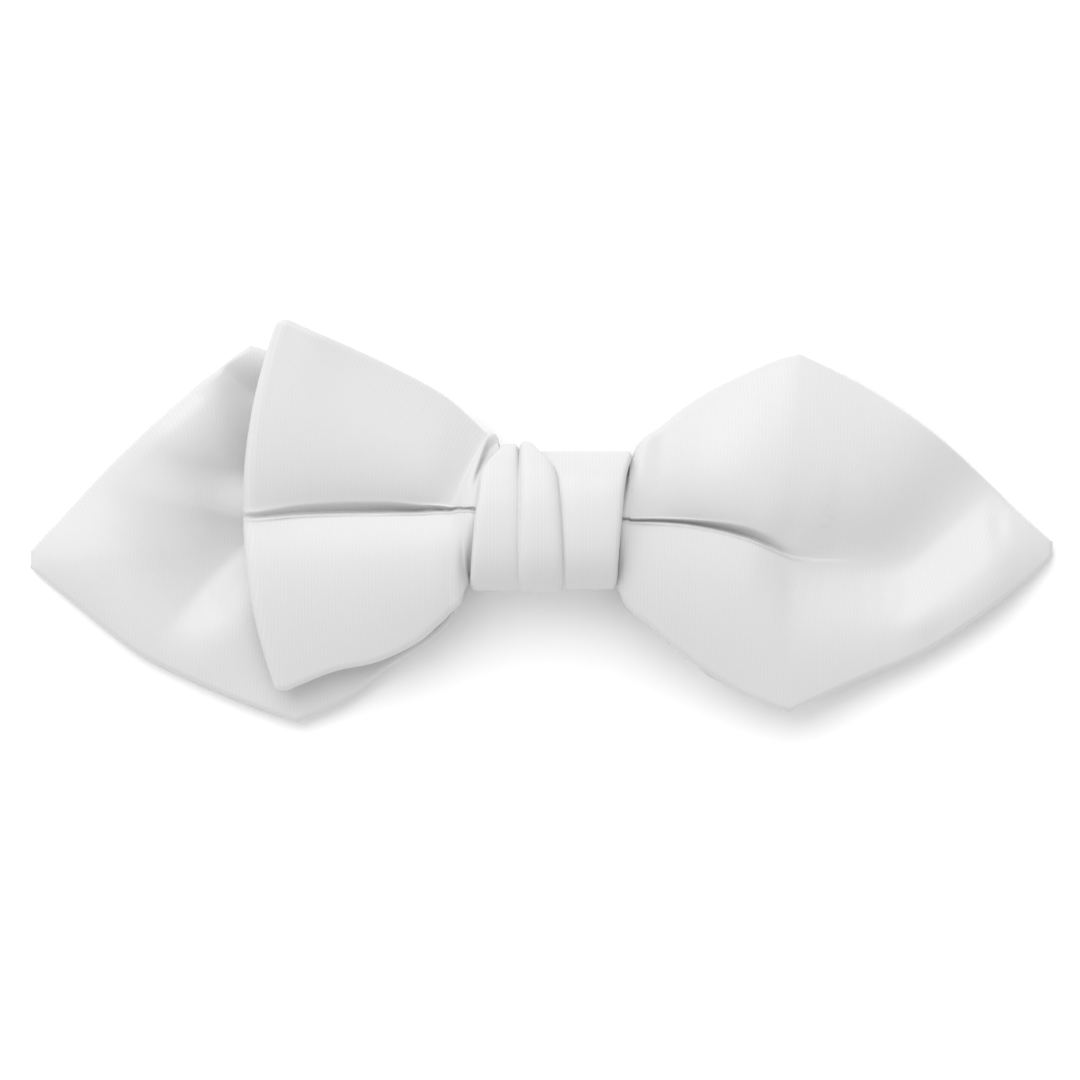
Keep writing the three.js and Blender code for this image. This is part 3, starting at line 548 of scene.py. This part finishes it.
# Edges of each band, its number of lines and the heights of its rims, of its crown and of
# the crown at the top and foot sides, as shares of the pleats' rise
BAND_COLUMNS = ("from", "to", "lines", "rim", "crown", "top", "foot")
PLEAT_BANDS = (
    ("left", "first_valley", 40, 0.1, 0.45, 1.0, 0.3),
    ("first_valley", "second_valley", 40, -0.1, 1.0, 1.35, 0.6),
    ("second_valley", "right", 46, -0.1, 0.5, 0.0, 0.1),
)
ARCH_POWER = 4.0
ARCH_ROUND = 0.6
FRONT_STARTS = 0.1
FRONT_IS_FULL = 0.4
SIDE_STARTS = 0.4
WRAP_EDGE_ROUND = 0.6
SECTION_CORNER_STEPS = 16
FRONT_ARC_STEPS = 64
FRONT_ARC_POWER = 2.3
SECTION_SIDE_STEPS = 24


def wrap_section(inset):
    """Points and normals round the wrap's section in the YZ plane, from its lower back corner."""
    half_height = KNOT_HALF_HEIGHT - inset
    front = KNOT_DEPTH - inset
    back_corner = max(KNOT_BACK_CORNER - inset, GAP)
    side = KNOT_DEPTH - KNOT_FRONT_RISE
    front_rise = front - side
    angle = np.linspace(0, np.pi, FRONT_ARC_STEPS + 1)
    arc_y = half_height * np.sign(np.cos(angle)) * np.abs(np.cos(angle)) ** (2 / FRONT_ARC_POWER)
    arc_z = side + front_rise * np.abs(np.sin(angle)) ** (2 / FRONT_ARC_POWER)
    right = np.radians(np.linspace(-90, 0, SECTION_CORNER_STEPS + 1))
    left = np.radians(np.linspace(180, 270, SECTION_CORNER_STEPS + 1))
    pieces = [
        np.stack([half_height - back_corner + back_corner * np.cos(right),
                  inset + back_corner * (1 + np.sin(right))], axis=1),
        np.stack([arc_y, arc_z], axis=1),
        np.stack([back_corner - half_height + back_corner * np.cos(left),
                  inset + back_corner * (1 + np.sin(left))], axis=1),
    ]
    points = []
    for number, piece in enumerate(pieces):
        following = pieces[(number + 1) % len(pieces)][0]
        share = (np.arange(1, SECTION_SIDE_STEPS) / SECTION_SIDE_STEPS)[:, None]
        points += [piece, lerp(piece[-1], following, share)]
    points = np.concatenate(points)
    along = np.roll(points, -1, axis=0) - np.roll(points, 1, axis=0)
    normals = np.stack([along[:, 1], -along[:, 0]], axis=1)
    return points, normals / np.linalg.norm(normals, axis=1, keepdims=True)


def make_knot_wrap():
    """The band round both blades, with a raised middle pleat in front and rounded edges."""
    outer, normals = wrap_section(0)
    inner, _ = wrap_section(WRAP)
    lines = Table(WRAP_COLUMNS, WRAP_ROWS).at(outer[:, 0] / KNOT_HALF_HEIGHT)
    frontness = smoothstep(outer[:, 1], FRONT_STARTS * KNOT_DEPTH, FRONT_IS_FULL * KNOT_DEPTH)
    upper = smoothstep(outer[:, 0] / KNOT_HALF_HEIGHT, SIDE_STARTS, 1)
    lower = smoothstep(-outer[:, 0] / KNOT_HALF_HEIGHT, SIDE_STARTS, 1)
    xs, heights = [], []
    for row in PLEAT_BANDS:
        band = dict(zip(BAND_COLUMNS, row))
        share = np.linspace(0, 1, band["lines"])
        share = share if band["from"] == "left" else share[1:]
        arch = (1 - np.abs(2 * share - 1) ** ARCH_POWER) ** ARCH_ROUND
        start = lines[band["from"]][:, None]
        end = lines[band["to"]][:, None]
        xs.append(lerp(start, end, share) * KNOT_HALF_WIDTH)
        at_top = upper * (band["top"] - band["crown"])
        at_foot = lower * (band["foot"] - band["crown"])
        crown = band["crown"] + at_top + at_foot
        heights.append(lerp(band["rim"], crown[:, None], arch[None, :]))
    x = np.concatenate(xs, axis=1)
    height = np.concatenate(heights, axis=1) * KNOT_PLEAT_RISE * frontness[:, None]
    rim = np.minimum(x - x[:, :1], x[:, -1:] - x)
    round_off = np.sqrt(1 - (1 - np.minimum(rim / WRAP_EDGE_ROUND, 1)) ** 2)
    base = outer[:, None, :] - normals[:, None, :] * WRAP / 2
    half = (WRAP / 2 * round_off)[..., None]
    outside = base + normals[:, None, :] * (half + height[..., None])
    inside = inner[:, None, :] + normals[:, None, :] * (WRAP / 2 - half)
    outside[:, [0, -1]] = (outside[:, [0, -1]] + inside[:, [0, -1]]) / 2
    stations, columns = x.shape
    around = np.concatenate([[0], np.cumsum(np.linalg.norm(np.diff(outer, axis=0), axis=1))])
    loop_x = np.concatenate([x, x[:, -2:0:-1]], axis=1)
    loop_yz = np.concatenate([outside, inside[:, -2:0:-1]], axis=1)
    vertices = np.concatenate([loop_x[..., None], loop_yz], axis=-1)
    width = vertices.shape[1]
    index = np.arange(stations * width).reshape(stations, width)
    ahead = np.roll(index, -1, axis=0)
    faces = np.stack([index, ahead, np.roll(ahead, -1, axis=1), np.roll(index, -1, axis=1)], axis=-1)
    coordinates = np.stack([loop_x, np.repeat(around[:, None], width, axis=1)], axis=-1)
    return make_mesh("wrap_cloth", vertices.reshape(-1, 3), faces.reshape(-1, 4), coordinates.reshape(-1, 2))


def node(tree, kind, place, **values):
    """A new node at a place in the tree, with the values that are given by name."""
    made = tree.nodes.new(kind)
    made.location = place
    for name, value in values.items():
        setattr(made, name, value)
    return made


# A wave texture of scale 1 repeats after this length
WAVE_PERIOD = math.pi / 10
THREAD_PITCH = 0.42 * MM

# Detail per metre of the uneven tone of the satin, and of the clip's brushing along and
# across its strip
TONE_DETAIL = 900
BRUSHING_ALONG = 80
BRUSHING_ACROSS = 4000


def satin_material():
    """White satin: fine threads across the cloth, a soft sheen and barely uneven tone."""
    material = bpy.data.materials.new("white_satin")
    material.use_nodes = True
    tree = material.node_tree
    links = tree.links
    shader = tree.nodes["Principled BSDF"]
    shader.inputs["Roughness"].default_value = 0.42
    shader.inputs["Specular IOR Level"].default_value = 0.35
    shader.inputs["Sheen Weight"].default_value = 0.15
    shader.inputs["Sheen Roughness"].default_value = 0.4
    uv = node(tree, "ShaderNodeUVMap", (-1400, 0), uv_map="UVMap")
    ribs = node(tree, "ShaderNodeTexWave", (-1000, 0), wave_type="BANDS", bands_direction="X")
    ribs.inputs["Scale"].default_value = WAVE_PERIOD / THREAD_PITCH
    ribs.inputs["Distortion"].default_value = 0.6
    ribs.inputs["Detail Scale"].default_value = 0.4
    patches = node(tree, "ShaderNodeTexNoise", (-1000, -300), noise_dimensions="2D")
    patches.inputs["Scale"].default_value = TONE_DETAIL
    patches.inputs["Detail"].default_value = 2
    mixed = node(tree, "ShaderNodeMix", (-800, 0), data_type="FLOAT")
    mixed.inputs["Factor"].default_value = 0.35
    tone = node(tree, "ShaderNodeValToRGB", (-600, 200))
    tone.color_ramp.elements[0].position = 0.1
    tone.color_ramp.elements[0].color = (0.58, 0.58, 0.58, 1)
    tone.color_ramp.elements[1].position = 0.9
    tone.color_ramp.elements[1].color = (0.605, 0.605, 0.605, 1)
    bump = node(tree, "ShaderNodeBump", (-400, -200))
    bump.inputs["Strength"].default_value = 0.05
    bump.inputs["Distance"].default_value = 0.00005
    links.new(uv.outputs["UV"], ribs.inputs["Vector"])
    links.new(uv.outputs["UV"], patches.inputs["Vector"])
    links.new(ribs.outputs["Fac"], mixed.inputs[2])
    links.new(patches.outputs["Fac"], mixed.inputs[3])
    links.new(mixed.outputs[0], tone.inputs["Fac"])
    links.new(tone.outputs["Color"], shader.inputs["Base Color"])
    links.new(mixed.outputs[0], bump.inputs["Height"])
    links.new(bump.outputs["Normal"], shader.inputs["Normal"])
    return material


def clip_material():
    """Bright spring steel with faint lengthwise brushing."""
    material = bpy.data.materials.new("spring_steel")
    material.use_nodes = True
    tree = material.node_tree
    shader = tree.nodes["Principled BSDF"]
    shader.inputs["Base Color"].default_value = (0.62, 0.63, 0.65, 1)
    shader.inputs["Metallic"].default_value = 1
    place = node(tree, "ShaderNodeTexCoord", (-1000, 0))
    stretch = node(tree, "ShaderNodeMapping", (-800, 0))
    stretch.inputs["Scale"].default_value = (BRUSHING_ALONG, BRUSHING_ACROSS, BRUSHING_ACROSS)
    brushing = node(tree, "ShaderNodeTexNoise", (-600, 0))
    brushing.inputs["Scale"].default_value = 1
    shine = node(tree, "ShaderNodeMapRange", (-400, 0))
    shine.inputs["To Min"].default_value = 0.24
    shine.inputs["To Max"].default_value = 0.36
    tree.links.new(place.outputs["Object"], stretch.inputs["Vector"])
    tree.links.new(stretch.outputs["Vector"], brushing.inputs["Vector"])
    tree.links.new(brushing.outputs["Fac"], shine.inputs["Value"])
    tree.links.new(shine.outputs["Result"], shader.inputs["Roughness"])
    return material


def floor_material():
    """A plain, dull white."""
    material = bpy.data.materials.new("floor_white")
    material.use_nodes = True
    shader = material.node_tree.nodes["Principled BSDF"]
    shader.inputs["Base Color"].default_value = (0.97, 0.97, 0.97, 1)
    shader.inputs["Roughness"].default_value = 0.9
    return material


# Studio, in metres and watts
KEY_PLACE = (-0.4, 0.75, 1.0)
KEY_SIZE = 1.4
KEY_POWER = 12
WORLD_STRENGTH = 0.88
FLOOR_HALF_WIDTH = 3.0
VIEW_DISTANCE = 10

# Photograph: a square frame seen straight from above, given in pixels
PHOTO_SIZE = 1080
BOW_LEFT_PIXEL = 30
BOW_RIGHT_PIXEL = 1053
BOW_MIDDLE_PIXEL = (541.5, 522)
CAMERA_LENS = 250
CAMERA_SENSOR = 36

# Height above the floor, in millimetres, at which the frame has the photograph's scale
FRAMED_HEIGHT = 2


def make_camera():
    """A long lens straight above the bow, framed as the photograph is."""
    bow_width = FRONT_POINT["reach"] + BACK_POINT["reach"]
    pixel = bow_width / (BOW_RIGHT_PIXEL - BOW_LEFT_PIXEL)
    data = bpy.data.cameras.new("camera")
    data.lens = CAMERA_LENS
    data.sensor_width = CAMERA_SENSOR
    data.clip_end = VIEW_DISTANCE
    camera = bpy.data.objects.new("camera", data)
    distance = PHOTO_SIZE * pixel * CAMERA_LENS / CAMERA_SENSOR
    camera.location = Vector((
        (PHOTO_SIZE / 2 - BOW_MIDDLE_PIXEL[0]) * pixel,
        (BOW_MIDDLE_PIXEL[1] - PHOTO_SIZE / 2) * pixel,
        FRAMED_HEIGHT + distance,
    )) * MM
    bpy.context.scene.collection.objects.link(camera)
    bpy.context.scene.camera = camera


def make_area_light(name, place, size, power):
    """A round area light that shines at the middle of the bow."""
    data = bpy.data.lights.new(name, "AREA")
    data.shape = "DISK"
    data.size = size
    data.energy = power
    light = bpy.data.objects.new(name, data)
    light.location = place
    light.rotation_euler = (-Vector(place)).to_track_quat("-Z", "Y").to_euler()
    bpy.context.scene.collection.objects.link(light)


def make_studio():
    """White floor, one large soft light from above the bow's upper edge and a pale world."""
    mesh = bpy.data.meshes.new("floor")
    half = FLOOR_HALF_WIDTH
    corners = [(-half, -half, 0), (half, -half, 0), (half, half, 0), (-half, half, 0)]
    mesh.from_pydata(corners, [], [(0, 1, 2, 3)])
    floor = bpy.data.objects.new("floor", mesh)
    floor.data.materials.append(floor_material())
    bpy.context.scene.collection.objects.link(floor)
    make_area_light("key", KEY_PLACE, KEY_SIZE, KEY_POWER)
    world = bpy.data.worlds.new("world")
    world.use_nodes = True
    background = world.node_tree.nodes["Background"]
    background.inputs["Color"].default_value = (1, 1, 1, 1)
    background.inputs["Strength"].default_value = WORLD_STRENGTH
    scene = bpy.context.scene
    scene.world = world
    scene.view_settings.view_transform = "Standard"
    scene.view_settings.look = "None"


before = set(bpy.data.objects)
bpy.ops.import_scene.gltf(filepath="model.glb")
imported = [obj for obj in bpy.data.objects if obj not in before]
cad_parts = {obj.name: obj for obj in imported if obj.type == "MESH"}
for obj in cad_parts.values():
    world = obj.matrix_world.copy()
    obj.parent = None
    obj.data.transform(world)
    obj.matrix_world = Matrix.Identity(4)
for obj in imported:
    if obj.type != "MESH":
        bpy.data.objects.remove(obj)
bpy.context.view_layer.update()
make_camera()
make_studio()

satin = satin_material()
front_blade = make_blade("front_cloth", front_point, front_loop, front_hidden_height, -1)
back_blade = make_blade("back_cloth", back_point, back_loop, back_hidden_height, 1)
knot_wrap = make_knot_wrap()
for obj, cad_node in ((front_blade, "front_blade"), (back_blade, "back_blade"), (knot_wrap, "knot_wrap")):
    obj.data.materials.append(satin)
    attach(obj, "root")
    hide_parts(cad_node)

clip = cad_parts["collar_clip"]
clip.data.materials.clear()
clip.data.materials.append(clip_material())
